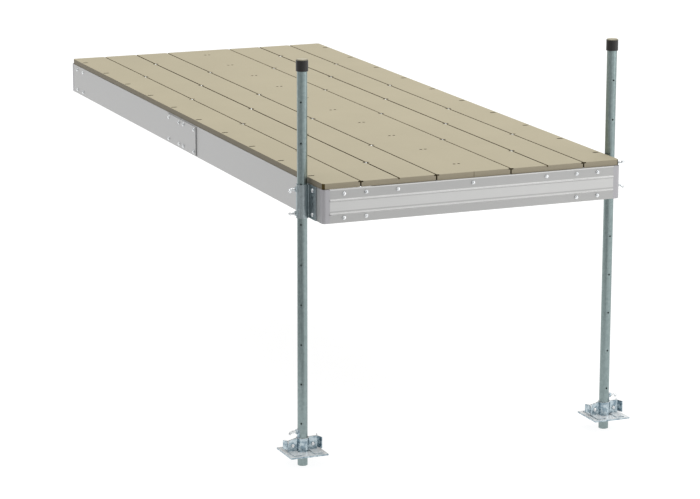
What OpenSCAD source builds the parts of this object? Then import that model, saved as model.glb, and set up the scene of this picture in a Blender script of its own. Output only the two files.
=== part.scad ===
// Aluminium dock section, 4 ft by 10 ft, on two adjustable pipe legs.
// X runs across the section, Y along it and Z up, in millimetres. The origin is the middle of the
// far end's outer face, where the section is bolted to its neighbour. The near end, which the legs
// carry, is towards -Y.

/* [Section] */
// Length of the frame, end face to end face
section_l = 3048; // [2400:1:3660]
// Width of the frame, side face to side face
section_w = 1219; // [1000:1:1500]
// Height of the side and end beams
beam_h = 127; // [110:1:160]
// Wall thickness of the side and end beams
web_t = 4; // [3:0.5:6]
// Width of the side beams' flanges
flange_w = 38; // [32:1:50]

/* [End beams] */
// How far the ribs on an end beam stand proud
rib_proud = 3; // [1:0.5:4]
// Height of a rib at its root
rib_h = 8; // [5:0.5:12]
// Height of the upper rib above the middle of the beam
rib_up = 21; // [18:1:34]
// Depth of the lower rib below the middle of the beam
rib_down = 30; // [18:1:40]
// Width of the stiffening lip along an end beam's lower edge
end_lip_w = 12; // [8:1:20]
// Width of both legs of the ledger angle behind an end beam
ledger_w = 38; // [25:1:45]
// Thickness of the ledger angle
ledger_t = 4; // [3:0.5:6]
// Distance from the middle to each bolt hole that joins the far end to its neighbour
joining_hole_x = 406; // [250:1:450]
// Diameter of the joining holes
joining_hole_d = 13.5; // [9:0.5:20]

/* [Corner brackets] */
// Width of a corner post's faces
post_w = 28; // [22:1:34]
// Outer radius of a corner post
post_r = 12; // [6:1:16]
// Reach of a corner bracket's arms from the corner
bracket_reach = 200; // [150:1:240]
// Thickness of a corner bracket's arms
bracket_t = 5; // [4:0.5:8]

/* [Splices] */
// Length of the plate that joins the two lengths of a side beam
splice_l = 350; // [240:1:450]
// Height of the splice plate
splice_h = 119; // [90:1:125]
// Thickness of the splice plate
splice_t = 4; // [3:0.5:8]
// How far beyond the middle, towards the far end, the side beams are joined
splice_shift = 11; // [0:1:60]

/* [Cross members] */
// Width of a cross member
cross_w = 32; // [26:1:60]
// Height of a cross member
cross_h = 50; // [35:1:70]
// Wall thickness of a cross member
cross_t = 2.5; // [2:0.5:5]
// How far the whole row of cross members lies off centre, towards the far end
cross_shift = 11; // [0:1:40]

/* [Deck] */
// Thickness of the deck panels
panel_t = 22; // [18:1:30]
// Gap between two deck panels
panel_gap = 5; // [3:0.5:8]
// Distance the deck stands back from the frame's side faces
deck_inset_side = 1.5; // [0.5:0.5:16]
// Distance the deck stands back from the frame's near end face
deck_inset_near = 6; // [0:1:20]
// Distance the deck stands back from the frame's far end face
deck_inset_far = 14; // [0:1:20]
// Radius of the deck's four corners
deck_corner_r = 12; // [4:1:20]
// Chamfer along the panels' upper long edges
panel_chamfer = 1.5; // [0.5:0.5:4]
// Width of the groove down the middle of two panels
groove_w = 5; // [3:0.5:8]
// Depth of that groove
groove_depth = 5; // [2:0.5:10]

/* [Legs] */
// Outer diameter of a leg
leg_d = 38; // [30:0.5:48]
// Wall thickness of a leg
leg_t = 3; // [2:0.5:4]
// Length of a leg
leg_l = 1536; // [1200:1:2400]
// Height of a leg's upper end above the deck
leg_above_deck = 436; // [300:1:600]
// Distance from the near end of the frame to the middle of a leg
leg_back = 136; // [125:1:160]
// Diameter of the pin holes across a leg
pin_hole_d = 7; // [5:0.5:12]
// Distance from one pin hole to the next
pin_hole_pitch = 152.4; // [100:0.1:200]
// Height of the lowest pin hole above a leg's lower end
pin_hole_first = 165; // [140:1:240]
// Angle of the left leg's pin holes from straight ahead
left_leg_turn = 36; // [0:1:80]
// Chamfer on a leg's ends
leg_chamfer = 1; // [0.5:0.5:1.5]

/* [Caps] */
// Wall thickness of a leg's cap
cap_t = 3.5; // [1.5:0.1:4]
// Thickness of the closed end of a cap
cap_top_t = 6; // [4:0.5:8]
// Length of a cap's skirt
cap_skirt = 38; // [30:1:60]
// Clearance between a cap and its leg, all round
cap_fit = 0.3; // [0.1:0.1:0.5]

/* [Leg holders] */
// Width of a holder's plate along the frame
holder_w = 150; // [130:1:180]
// Thickness of a holder's plate
holder_t = 4; // [3:0.5:8]
// Wall thickness of a holder's sleeve
sleeve_t = 3.5; // [2.5:0.5:6]
// Clearance between a leg and its sleeve, all round
sleeve_fit = 0.5; // [0.3:0.1:0.8]
// Distance between the two columns of bolts through a holder
holder_bolt_pitch = 88; // [70:1:110]
// Height of the upper and lower bolts and of the clamping screws above or below the middle
screw_z = 45; // [35:1:48]
// Diameter of the spare holes in a holder's plate
spare_hole_d = 8; // [5:0.5:10]

/* [Clamping screws] */
// Diameter of a clamping screw
screw_d = 9.5; // [8:0.5:12]
// Clearance round a clamping screw
screw_fit = 0.2; // [0.1:0.1:0.4]
// Width across the flats of the nut that a clamping screw turns in
nut_flats = 17; // [15:0.5:22]
// Thickness of that nut
nut_t = 8; // [5:0.5:12]
// Length of a clamping screw outside its nut, up to the bend
screw_out = 16; // [10:1:30]
// Radius of the bend in the handle
handle_bend_r = 8; // [7:1:15]
// Length of a holder screw's handle after the bend
handle_tail = 8; // [4:1:30]
// How far the left holder's lower and upper handles are turned from straight up
left_turns = [275, 250]; // [0:1:359]
// How far the right holder's lower and upper handles are turned from straight up
right_turns = [110, 70]; // [0:1:359]
// Gap between a clamping screw's tip and the leg
tip_gap = 0.3; // [0.2:0.1:0.5]

/* [Feet] */
// Side of the square base plate
foot_w = 150; // [140:1:200]
// Thickness of the base plate
foot_t = 6; // [4:0.5:10]
// Height of the base plate's underside above the leg's lower end
foot_up = 49; // [20:1:80]
// Wall thickness of the foot's socket
socket_t = 1.8; // [1.5:0.1:3]
// Clearance between a leg and the foot's socket, all round
socket_fit = 0.4; // [0.3:0.1:0.8]
// Width of the tab above the socket that carries the foot screw's nut
tab_w = 22; // [20:1:30]
// Length of a foot screw's handle after the bend
foot_handle_tail = 2; // [1:0.5:20]
// Clearance between a foot screw's handle and the clamp below it
handle_clear = 14; // [2:1:20]
// Thickness of the clamp plates
clamp_t = 3; // [2:0.5:5]
// Height of the clamp plates
clamp_h = 53; // [45:1:64]
// Distance from the middle to the outer end of a clamp's flat wing
wing_x = 58; // [50:1:62]
// How far the top of a clamp's left wing slopes down to its outer end
wing_drop = 9; // [1:1:15]
// Gap between the wings of the two clamp halves
wing_gap = 2; // [0.5:0.5:4]
// How far the ears at the ends of the wings splay out along the frame
ear_y = 26; // [15:1:34]
// How far the ears lean outwards
ear_lean = 8; // [2:1:12]
// Height of an ear's lower edge above the base plate
ear_raise = 9; // [5:1:15]
// Distance from the middle to the front edge of a clamp's bottom flange
toe_y = 62; // [45:1:68]
// Diameter of the holes for the clamp bolts
clamp_hole_d = 9; // [6:0.5:12]
// Distance from the middle to a clamp bolt
clamp_bolt_x = 41; // [36:1:46]
// Height of the clamp bolts above the base plate
clamp_bolt_z = 24; // [18:1:40]

/* [Hidden] */
$fn = 48;
eps = 1;                                      // overshoot of a cut past a face
top_z = beam_h / 2;                           // top of the frame
deck_z = top_z + panel_t;                     // walking surface
near_y = -section_l;                          // near end face of the frame
side_x = section_w / 2;                       // right side face of the frame
inner_h = beam_h - 2 * web_t;                 // clear height between a side beam's flanges
arm_h = inner_h - 1;                          // height of a corner bracket's arms
splice_y = near_y / 2 + splice_shift;         // where the side beams are joined

row_count = 9;                                // cross members, each under a row of deck screws
row_pitch = section_l / (row_count + 1);
rows = [for (i = [1:row_count]) near_y + i * row_pitch + cross_shift];

seam_count = 4;
seam_pitch = section_w / seam_count;
deck_x = side_x - deck_inset_side;
panel_edges = concat([-deck_x - panel_gap / 2],
                     [for (i = [0:seam_count - 1]) (i + 0.5) * seam_pitch - side_x],
                     [deck_x + panel_gap / 2]);

sleeve_r = leg_d / 2 + sleeve_fit + sleeve_t; // outside of a holder's sleeve
weld = 0.5;                                   // how far welded pieces run into each other
nut_sink = 2;                                 // how far a nut is let into the tube it is welded to
leg_x = side_x + holder_t + sleeve_r - weld;  // middle of the right leg
leg_y = near_y + leg_back;
leg_top = deck_z + leg_above_deck;
leg_bottom = leg_top - leg_l;
foot_z = leg_bottom + foot_up + foot_t;       // top of the base plate
socket_r = leg_d / 2 + socket_fit + socket_t;
foot_screw_z = clamp_h + handle_clear + foot_handle_tail + handle_bend_r;
tab_h = foot_screw_z + nut_flats / 2 + weld;  // height of the socket's tab above the base plate
pin_hole_count = floor((leg_l - pin_hole_first - cap_skirt - pin_hole_d) / pin_hole_pitch) + 1;

aluminium = "#B9BBBD";
zinc = "#8F9997";
panel_tan = "#C8BC9C";
cap_black = "#262626";

// Puts a shape made for the near end at the near end (0) or, turned half round, at the far end (1).
module at_end(far) {
    if (far == 1) rotate([0, 0, 180]) children();
    else translate([0, near_y, 0]) children();
}

// Runs an outline along X. The outline's x is the depth in from the outer face, its y is height.
module along_x(length) {
    translate([-length / 2, 0, 0]) rotate([90, 0, 90]) linear_extrude(length) children();
}

// Runs an outline along -Y to +Y, from y = 0.
module along_y(length) {
    translate([0, length, 0]) rotate([90, 0, 0]) linear_extrude(length) children();
}

// ---- end beams and ledgers ----

module rib_outline(z) {
    translate([0, z]) polygon([[0, -rib_h / 2], [-rib_proud, -rib_h / 4], [-rib_proud, rib_h / 4],
                               [0, rib_h / 2], [weld, rib_h / 2], [weld, -rib_h / 2]]);
}

module end_beam_outline() {
    translate([0, -top_z]) square([web_t, beam_h]);
    translate([0, -top_z]) square([end_lip_w, web_t]);
    translate([-rib_proud / 2, top_z - web_t]) square([rib_proud / 2 + weld, web_t]);
    for (z = [-rib_down, rib_up]) rib_outline(z);
}

module end_beam(far) {
    color(aluminium) at_end(far) difference() {
        along_x(section_w - 2 * post_w) end_beam_outline();
        if (far == 1) for (side = [-1, 1])
            translate([side * joining_hole_x, -eps, 0]) rotate([-90, 0, 0])
                cylinder(d = joining_hole_d, h = web_t + 2 * eps);
    }
}

module ledger(far) {
    color(aluminium) at_end(far) along_x(section_w - 2 * bracket_reach - 2)
        translate([web_t, top_z - ledger_w]) difference() {
            square(ledger_w);
            translate([ledger_t, -eps]) square(ledger_w - ledger_t + eps);
        }
}

// ---- side beams ----

module side_beam_outline() {
    difference() {
        translate([-flange_w, -top_z]) square([flange_w, beam_h]);
        translate([-flange_w - eps, -top_z + web_t]) square([flange_w - web_t + eps, inner_h]);
    }
}

// side is -1 for left and 1 for right; y0 and y1 are the ends of the beam.
module side_beam(side, y0, y1) {
    color(aluminium) mirror([side < 0 ? 1 : 0, 0, 0])
        translate([side_x, y0, 0]) along_y(y1 - y0) side_beam_outline();
}

module splice_plate(side) {
    color(aluminium)
        translate([side > 0 ? side_x : -side_x - splice_t, splice_y - splice_l / 2, -splice_h / 2])
        cube([splice_t, splice_l, splice_h]);
}

// ---- corner brackets ----

// Plan of the corner post, with the outer corner at the origin and the post in x < 0, y > 0.
module post_outline() {
    difference() {
        translate([-post_w, 0]) square(post_w);
        translate([web_t - post_w, web_t]) square(post_w - 2 * web_t);
        translate([-post_r, 0]) difference() {
            square(post_r);
            translate([0, post_r]) circle(post_r);
        }
    }
}

module corner(side, far) {
    color(aluminium) at_end(far) mirror([side < 0 ? 1 : 0, 0, 0]) translate([side_x, 0, 0]) {
        translate([0, 0, -top_z]) linear_extrude(beam_h) post_outline();
        translate([-bracket_reach, web_t, -arm_h / 2])
            cube([bracket_reach - post_w + weld, bracket_t, arm_h]);
        translate([-web_t - bracket_t, post_w - weld, -arm_h / 2])
            cube([bracket_t, bracket_reach - post_w + weld, arm_h]);
    }
}

// ---- cross members ----

// Half length of a cross member: to the side beams' webs, or to the brackets' arms where it meets them.
function cross_reach(y) =
    let (from_end = min(y - near_y, -y) - cross_w / 2)
    side_x - web_t - (from_end < bracket_reach ? bracket_t : 0);

module cross_member(number) {
    y = rows[number - 1];
    reach = cross_reach(y);
    color(aluminium) translate([0, y, top_z - cross_h]) difference() {
        translate([-reach, -cross_w / 2, 0]) cube([2 * reach, cross_w, cross_h]);
        translate([-reach - eps, cross_t - cross_w / 2, cross_t])
            cube([2 * (reach + eps), cross_w - 2 * cross_t, cross_h - 2 * cross_t]);
        for (side = [-1, 1])
            translate([side > 0 ? side_x - flange_w : -side_x - eps, -cross_w / 2 - eps, cross_h - web_t])
                cube([flange_w + eps, cross_w + 2 * eps, web_t + eps]);
    }
}

// ---- deck ----

module panel_outline(x0, x1, grooved) {
    difference() {
        polygon([[x0, 0], [x1, 0], [x1, panel_t - panel_chamfer], [x1 - panel_chamfer, panel_t],
                 [x0 + panel_chamfer, panel_t], [x0, panel_t - panel_chamfer]]);
        if (grooved) translate([(x0 + x1 - groove_w) / 2, panel_t - groove_depth])
            square([groove_w, groove_depth + eps]);
    }
}

// What is left outside the round of the deck's corner at x > 0, y > 0, where the deck ends at -inset.
module deck_corner_cut(inset) {
    translate([deck_x - deck_corner_r, -inset - deck_corner_r, top_z - eps])
        linear_extrude(panel_t + 2 * eps) difference() {
            square(deck_corner_r + eps);
            circle(deck_corner_r);
        }
}

module deck_panel(number) {
    x0 = panel_edges[number - 1] + panel_gap / 2;
    x1 = panel_edges[number] - panel_gap / 2;
    color(panel_tan) difference() {
        translate([0, near_y + deck_inset_near, top_z])
            along_y(section_l - deck_inset_near - deck_inset_far)
            panel_outline(x0, x1, number == 2 || number == 4);
        for (side = [-1, 1], end = [0, 1]) if (side * (number - 3) == 2)
            mirror([side < 0 ? 1 : 0, 0, 0])
                translate([0, end * near_y, 0]) mirror([0, end, 0])
                    deck_corner_cut(end == 1 ? deck_inset_near : deck_inset_far);
    }
}

// ---- clamping screws ----

// The nut that a clamping screw turns in, standing out along +X from x = 0.
module nut() {
    rotate([0, 90, 0]) rotate([0, 0, 30]) cylinder(d = nut_flats / cos(30), h = nut_t, $fn = 6);
}

// A screw along +X with its tip at x = tip_x, in a nut at x = nut_x. At a turn of 0 its handle bends up.
module clamping_screw(tip_x, nut_x, tail, turn) {
    bend_x = nut_x + nut_t + screw_out;
    rotate([turn, 0, 0]) {
        translate([tip_x, 0, 0]) rotate([0, 90, 0]) cylinder(d = screw_d, h = bend_x - tip_x);
        translate([bend_x, 0, handle_bend_r]) rotate([90, 0, 0]) rotate([0, 0, -90])
            rotate_extrude(angle = 90) translate([handle_bend_r, 0]) circle(d = screw_d);
        translate([bend_x + handle_bend_r, 0, handle_bend_r]) cylinder(d = screw_d, h = tail);
    }
}

// ---- leg holders ----

// Moves a shape made round the right leg's axis to the left or right leg, turned to face outwards.
module at_leg(side) {
    translate([side * leg_x, leg_y, 0]) rotate([0, 0, side < 0 ? 180 : 0]) children();
}

module leg_holder(side) {
    plate_x = side_x - leg_x;
    spare_z = [20, -5];
    color(zinc) at_leg(side) difference() {
        union() {
            translate([plate_x, -holder_w / 2, -top_z]) cube([holder_t, holder_w, beam_h]);
            translate([0, 0, -top_z]) cylinder(r = sleeve_r, h = beam_h);
            for (z = [-screw_z, screw_z]) translate([sleeve_r - nut_sink, 0, z]) nut();
        }
        translate([0, 0, -top_z - eps]) cylinder(r = leg_d / 2 + sleeve_fit, h = beam_h + 2 * eps);
        for (z = [-screw_z, screw_z]) translate([0, 0, z]) rotate([0, 90, 0])
            cylinder(d = screw_d + 2 * screw_fit, h = sleeve_r + nut_t + eps);
        for (column = [-1, 1], z = spare_z)
            translate([plate_x - eps, column * holder_bolt_pitch / 2, z]) rotate([0, 90, 0])
                cylinder(d = spare_hole_d, h = holder_t + 2 * eps);
    }
}

module holder_screws(side) {
    turns = side < 0 ? left_turns : right_turns;
    color(zinc) at_leg(side) for (upper = [0, 1])
        translate([0, 0, (2 * upper - 1) * screw_z])
            clamping_screw(leg_d / 2 + tip_gap, sleeve_r - nut_sink, handle_tail, turns[upper]);
}

// ---- legs and caps ----

module leg(side) {
    outer = leg_d / 2;
    inner = outer - leg_t;
    color(zinc) translate([side * leg_x, leg_y, leg_bottom]) difference() {
        rotate_extrude() polygon([[inner, 0], [outer - leg_chamfer, 0], [outer, leg_chamfer],
                                  [outer, leg_l - leg_chamfer], [outer - leg_chamfer, leg_l],
                                  [inner, leg_l]]);
        for (i = [0:pin_hole_count - 1])
            translate([0, 0, pin_hole_first + i * pin_hole_pitch])
                rotate([90, 0, side < 0 ? -left_leg_turn : 0])
                cylinder(d = pin_hole_d, h = leg_d + 2 * eps, center = true);
    }
}

module leg_cap(side) {
    inner = leg_d / 2 + cap_fit;
    outer = inner + cap_t;
    color(cap_black) translate([side * leg_x, leg_y, leg_top]) rotate_extrude()
        polygon([[0, cap_fit], [inner, cap_fit], [inner, -cap_skirt], [outer, -cap_skirt],
                 [outer, cap_top_t - cap_t], [outer - cap_t, cap_top_t], [0, cap_top_t]]);
}

// ---- feet ----

module foot(side) {
    color(zinc) at_leg(side) translate([0, 0, foot_z]) difference() {
        union() {
            translate([-foot_w / 2, -foot_w / 2, -foot_t]) cube([foot_w, foot_w, foot_t]);
            translate([0, 0, -foot_t]) cylinder(r = socket_r, h = foot_t + clamp_h);
            intersection() {
                cylinder(r = socket_r, h = tab_h);
                translate([0, -tab_w / 2, 0]) cube([socket_r, tab_w, tab_h]);
            }
            translate([socket_r - nut_sink, 0, foot_screw_z]) nut();
        }
        translate([0, 0, -foot_t - eps])
            cylinder(r = leg_d / 2 + socket_fit, h = foot_t + tab_h + 2 * eps);
        translate([0, 0, foot_screw_z]) rotate([0, 90, 0])
            cylinder(d = screw_d + 2 * screw_fit, h = socket_r + nut_t + eps);
    }
}

module foot_screw(side) {
    color(zinc) at_leg(side) translate([0, 0, foot_z + foot_screw_z])
        clamping_screw(leg_d / 2 + tip_gap, socket_r - nut_sink, foot_handle_tail, 180);
}

// Plan of the clamp half in y < 0: a saddle round the socket and a flat wing at each side.
module clamp_outline() {
    saddle = socket_r + tip_gap;
    difference() {
        union() {
            circle(saddle + clamp_t);
            translate([-wing_x, -wing_gap / 2 - clamp_t]) square([2 * wing_x, clamp_t]);
        }
        circle(saddle);
        translate([-wing_x - eps, -wing_gap / 2]) square(2 * (wing_x + eps));
    }
}

// The ear at the end of the wing in x > 0.
module ear_outline() {
    y0 = -wing_gap / 2;
    polygon([[wing_x - weld, y0], [wing_x + clamp_t, y0], [wing_x + clamp_t + ear_lean, y0 - ear_y],
             [wing_x + ear_lean, y0 - ear_y], [wing_x - weld, y0 - clamp_t]]);
}

// back is 0 for the half towards the near end and 1 for the half behind the leg.
module foot_clamp(side, back) {
    toe_x = socket_r + clamp_t;
    out_x = wing_x + clamp_t + ear_lean + eps;
    drop = wing_drop * (out_x - toe_x) / (wing_x - toe_x);
    color(zinc) translate([side * leg_x, leg_y, foot_z]) mirror([0, back, 0]) difference() {
        union() {
            linear_extrude(clamp_h) clamp_outline();
            for (half = [0, 1]) mirror([half, 0, 0]) {
                translate([0, 0, ear_raise]) linear_extrude(clamp_h - ear_raise) ear_outline();
                translate([toe_x, -toe_y, 0])
                    cube([wing_x - toe_x, toe_y - wing_gap / 2 - clamp_t + weld, clamp_t]);
            }
        }
        for (half = [-1, 1]) translate([half * clamp_bolt_x, eps, clamp_bolt_z]) rotate([90, 0, 0])
            cylinder(d = clamp_hole_d, h = clamp_t + wing_gap + 2 * eps);
        translate([0, toe_y, 0]) rotate([90, 0, 0]) linear_extrude(2 * toe_y)
            polygon([[-toe_x, clamp_h], [-out_x, clamp_h - drop], [-out_x, clamp_h + eps],
                     [-toe_x, clamp_h + eps]]);
    }
}

end_beam(0);  // end_beam_near
end_beam(1);  // end_beam_far
side_beam(-1, near_y + post_w, splice_y);  // side_beam_left_near
side_beam(-1, splice_y, -post_w);  // side_beam_left_far
side_beam(1, near_y + post_w, splice_y);  // side_beam_right_near
side_beam(1, splice_y, -post_w);  // side_beam_right_far
splice_plate(-1);  // splice_plate_left
splice_plate(1);  // splice_plate_right
corner(-1, 0);  // corner_near_left
corner(1, 0);  // corner_near_right
corner(1, 1);  // corner_far_left
corner(-1, 1);  // corner_far_right
ledger(0);  // ledger_near
ledger(1);  // ledger_far
for (i = [1:row_count]) cross_member(i);
for (i = [1:seam_count + 1]) deck_panel(i);
leg_holder(-1);  // leg_holder_left
leg_holder(1);  // leg_holder_right
holder_screws(-1);  // holder_screws_left
holder_screws(1);  // holder_screws_right
leg(-1);  // leg_left
leg(1);  // leg_right
leg_cap(-1);  // leg_cap_left
leg_cap(1);  // leg_cap_right
foot(-1);  // foot_left
foot(1);  // foot_right
foot_clamp(-1, 0);  // foot_clamp_left_front
foot_clamp(-1, 1);  // foot_clamp_left_back
foot_clamp(1, 0);  // foot_clamp_right_front
foot_clamp(1, 1);  // foot_clamp_right_back
foot_screw(-1);  // foot_screw_left
foot_screw(1);  // foot_screw_right
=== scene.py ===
# %% [markdown]
# # A dock section in aluminium, galvanised steel and moulded decking
#
# The real section is bolted together from extruded aluminium beams. Moulded panels are screwed down on
# top, and two galvanised pipe legs slide in holders at its near end and stand on pressed steel feet.
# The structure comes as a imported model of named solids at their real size. This lesson finishes it: every
# surface gets a material worked out from what it is made of, and what is small or many is added as
# meshes: panels with their screw recesses, screws, bolts, nuts, welds and threads.

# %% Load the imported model
import math
import random

import bmesh
import bpy
from mathutils import Matrix, Vector


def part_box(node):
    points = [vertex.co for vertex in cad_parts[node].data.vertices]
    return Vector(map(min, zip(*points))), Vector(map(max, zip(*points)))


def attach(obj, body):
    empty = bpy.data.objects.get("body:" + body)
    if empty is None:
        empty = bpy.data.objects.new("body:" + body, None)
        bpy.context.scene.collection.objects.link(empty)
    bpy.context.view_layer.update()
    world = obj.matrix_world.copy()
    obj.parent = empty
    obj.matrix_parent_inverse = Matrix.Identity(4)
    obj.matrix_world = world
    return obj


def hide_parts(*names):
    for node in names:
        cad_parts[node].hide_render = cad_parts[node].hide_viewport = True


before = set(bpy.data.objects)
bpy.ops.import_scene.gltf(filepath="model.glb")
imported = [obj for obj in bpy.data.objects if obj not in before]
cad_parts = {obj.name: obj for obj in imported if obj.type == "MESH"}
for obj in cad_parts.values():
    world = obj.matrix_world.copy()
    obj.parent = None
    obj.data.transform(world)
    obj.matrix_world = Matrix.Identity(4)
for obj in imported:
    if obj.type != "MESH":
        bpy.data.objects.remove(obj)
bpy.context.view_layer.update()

# %% [markdown]
# ## Measures
#
# Places come from the boxes of the structure's own pieces, so this script follows the structure when a
# size changes there. Blender works in metres, but small hardware is easier to read in millimetres, so one
# constant turns millimetres to metres.

# %% Measure the structure
MM = 0.001


def middle(node):
    """The middle of a structural piece's box."""
    low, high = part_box(node)
    return (low + high) / 2


def numbers_of(start):
    """The numbers of the structural pieces whose names start like this, from 1."""
    return range(1, 1 + sum(node.startswith(start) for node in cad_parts))


near_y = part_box("corner_near_left")[0].y
far_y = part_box("corner_far_left")[1].y
side_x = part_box("corner_near_right")[1].x
deck_low_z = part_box("deck_panel_3")[0].z
deck_top_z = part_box("deck_panel_3")[1].z
row_ys = [middle(f"cross_member_{number}").y for number in numbers_of("cross_member")]
leg_axes = {side: middle(f"leg_{side}") for side in ("left", "right")}
outward = {"left": -1, "right": 1}
print("deck top", round(deck_top_z, 4), "m; cross members at", [round(y, 3) for y in row_ys])

# %% [markdown]
# ## Colours and nodes
#
# A finish is matched as an sRGB hex value, but shaders work in linear light, so one function turns
# the one into the other, by the curve that the sRGB standard gives. Two more keep each material short: one
# wires a node's sockets, and one adds a node with its settings and wires it.

# %% Colour and node helpers
def linear(hex_colour):
    """An sRGB hex colour as the linear red, green, blue and alpha that a shader takes."""
    channels = [int(hex_colour[i:i + 2], 16) / 255 for i in (1, 3, 5)]
    return [c / 12.92 if c <= 0.04045 else ((c + 0.055) / 1.055) ** 2.4 for c in channels] + [1.0]


def wire(tree, node, sockets):
    """Sets a node's sockets, each to a constant, to an output, or to a node's first output in use."""
    for name, value in sockets.items():
        socket = next(s for s in node.inputs if s.enabled and name in (s.name, s.identifier))
        if isinstance(value, bpy.types.Node):
            value = next(s for s in value.outputs if s.enabled)
        if isinstance(value, bpy.types.NodeSocket):
            tree.links.new(value, socket)
        else:
            socket.default_value = value


def add_node(tree, kind, settings, sockets):
    """Adds a node with its settings, and wires its sockets."""
    made = tree.nodes.new(kind)
    for name, value in settings.items():
        setattr(made, name, value)
    wire(tree, made, sockets)
    return made


print("mid grey in linear light is", round(linear("#808080")[0], 3))

# %% [markdown]
# A procedural pattern's scale has no unit. Here the object's own coordinates, in metres, are multiplied
# so that one unit is one grain of a size given in millimetres. A grain that is much longer along one axis
# than along the others becomes a streak, as a die leaves on an extrusion.
#
# Every finish below is built from the same few steps, so each step is a function: a noise of some grain, a
# mix of two numbers or of two colours, and a range of roughness.

# %% Finishes and grain
def new_finish(name, constants):
    """A material whose shader starts with these constants. Returns it with its tree and its shader."""
    finish = bpy.data.materials.new(name)
    finish.use_nodes = True
    shader = finish.node_tree.nodes["Principled BSDF"]
    wire(finish.node_tree, shader, constants)
    return finish, finish.node_tree, shader


def grain_space(tree, size_mm):
    """Object coordinates in which one unit is one grain, whose size is given for each axis."""
    place = add_node(tree, "ShaderNodeTexCoord", {}, {})
    return add_node(tree, "ShaderNodeMapping", {},
                    {"Vector": place.outputs["Object"], "Scale": [1000 / size for size in size_mm]})


def noise(tree, size_mm, detail, **more):
    """A noise with a grain size for each axis, in so many finer layers."""
    return add_node(tree, "ShaderNodeTexNoise", {},
                    {"Vector": grain_space(tree, size_mm), "Scale": 1.0, "Detail": detail, **more})


def mix_numbers(tree, share, first, second):
    """A mix of two numbers, with this share of the second."""
    return add_node(tree, "ShaderNodeMix", {"data_type": "FLOAT"},
                    {"Factor": share, "A": first, "B": second})


def mix_colours(tree, share, first, second):
    """A mix of two colours, with this share of the second."""
    return add_node(tree, "ShaderNodeMix", {"data_type": "RGBA"},
                    {"Factor": share, "A": first, "B": second})


def to_range(tree, value, low, high, start=0.0, end=1.0):
    """A number that goes from low to high while the value goes from start to end."""
    return add_node(tree, "ShaderNodeMapRange", {},
                    {"Value": value, "From Min": start, "From Max": end, "To Min": low, "To Max": high})


print(len(bpy.data.materials), "plain materials came with the structure")

# %% [markdown]
# Sharp computer edges give themselves away, because every real edge has a small radius that catches the
# light. The structure's meshes stay as they are, so their edges are rounded in the shading instead.
#
# Dust and salts settle only where a surface faces up, and there two finishes also get painted light from
# the bright room overhead. The upward part of the surface's normal says where that is, whatever the view.

# %% Relief, and upward faces for dust and painted light
EDGE_RADIUS_MM = 0.8
UPWARD_FROM = 0.5
UPWARD_TO = 0.95


def relief(tree, shader, height, depth_mm, edge_mm=EDGE_RADIUS_MM):
    """Bumps a surface by up to a depth, and rounds its edges in the shading to a radius."""
    rounded = add_node(tree, "ShaderNodeBevel", {"samples": 4}, {"Radius": edge_mm * MM})
    bumped = add_node(tree, "ShaderNodeBump", {},
                      {"Height": height, "Distance": depth_mm * MM, "Normal": rounded})
    wire(tree, shader, {"Normal": bumped})


def dust_and_light_above(tree):
    """A number that is 0 on walls and slopes, and 1 where the surface faces up."""
    surface = add_node(tree, "ShaderNodeNewGeometry", {}, {})
    upward = add_node(tree, "ShaderNodeSeparateXYZ", {}, {"Vector": surface.outputs["Normal"]})
    return to_range(tree, upward.outputs["Z"], 0.0, 1.0, UPWARD_FROM, UPWARD_TO)


print("edges are rounded to", EDGE_RADIUS_MM, "mm")

# %% [markdown]
# ## Extruded aluminium, mill finish
#
# Beams, corner posts, splice plates and cross members are 6000 series aluminium, pressed hot through a
# die and left as they come, with no anodising. The eye sees a pale satin grey, fine lines along the
# length where the die dragged, and soft clouds of another grey from oxide and handling.
#
# One flat metal would be simpler, but no extrusion is that even. Two noises are mixed instead: one
# stretched to streaks for the die lines, and one broad for the clouds. Real die lines are under 0.2 mm
# wide, which is too fine to show, so they are drawn 3 mm wide. The posts are duller than the beams.

# %% Mill aluminium
DIE_LINE_MM = 3.0
DIE_LINE_LENGTH_MM = 1200.0
DIE_LINE_DEPTH_MM = 0.03
CLOUD_MM = 180.0
LINE_SHARE = 0.5


def mill_aluminium(name, along, dark, light, smooth=0.38, dull=0.5):
    """Aluminium extruded along axis 0, 1 or 2, in a range of greys. Returns it, its tree and its greys."""
    finish, tree, shader = new_finish(name, {"Metallic": 1.0})
    line_size = [DIE_LINE_MM] * 3
    line_size[along] = DIE_LINE_LENGTH_MM
    lines = noise(tree, line_size, detail=3.0)
    clouds = noise(tree, [CLOUD_MM] * 3, detail=4.0)
    mixed = mix_numbers(tree, LINE_SHARE, clouds, lines)
    greys = mix_colours(tree, mixed, linear(dark), linear(light))
    wire(tree, shader, {"Base Color": greys, "Roughness": to_range(tree, mixed, smooth, dull)})
    relief(tree, shader, lines, DIE_LINE_DEPTH_MM)
    return finish, tree, greys


aluminium_x, *_ = mill_aluminium("mill_aluminium_across", 0, "#BDBDBD", "#CDCDCC")
aluminium_y, *_ = mill_aluminium("mill_aluminium_lengthways", 1, "#B0B0B0", "#BEBEBD")
aluminium_z, *_ = mill_aluminium("mill_aluminium_upright", 2, "#B3B2B5", "#C3C2C5", smooth=0.6,
                                  dull=0.7)
print("die lines", DIE_LINE_MM, "mm wide, clouds", CLOUD_MM, "mm")
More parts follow.
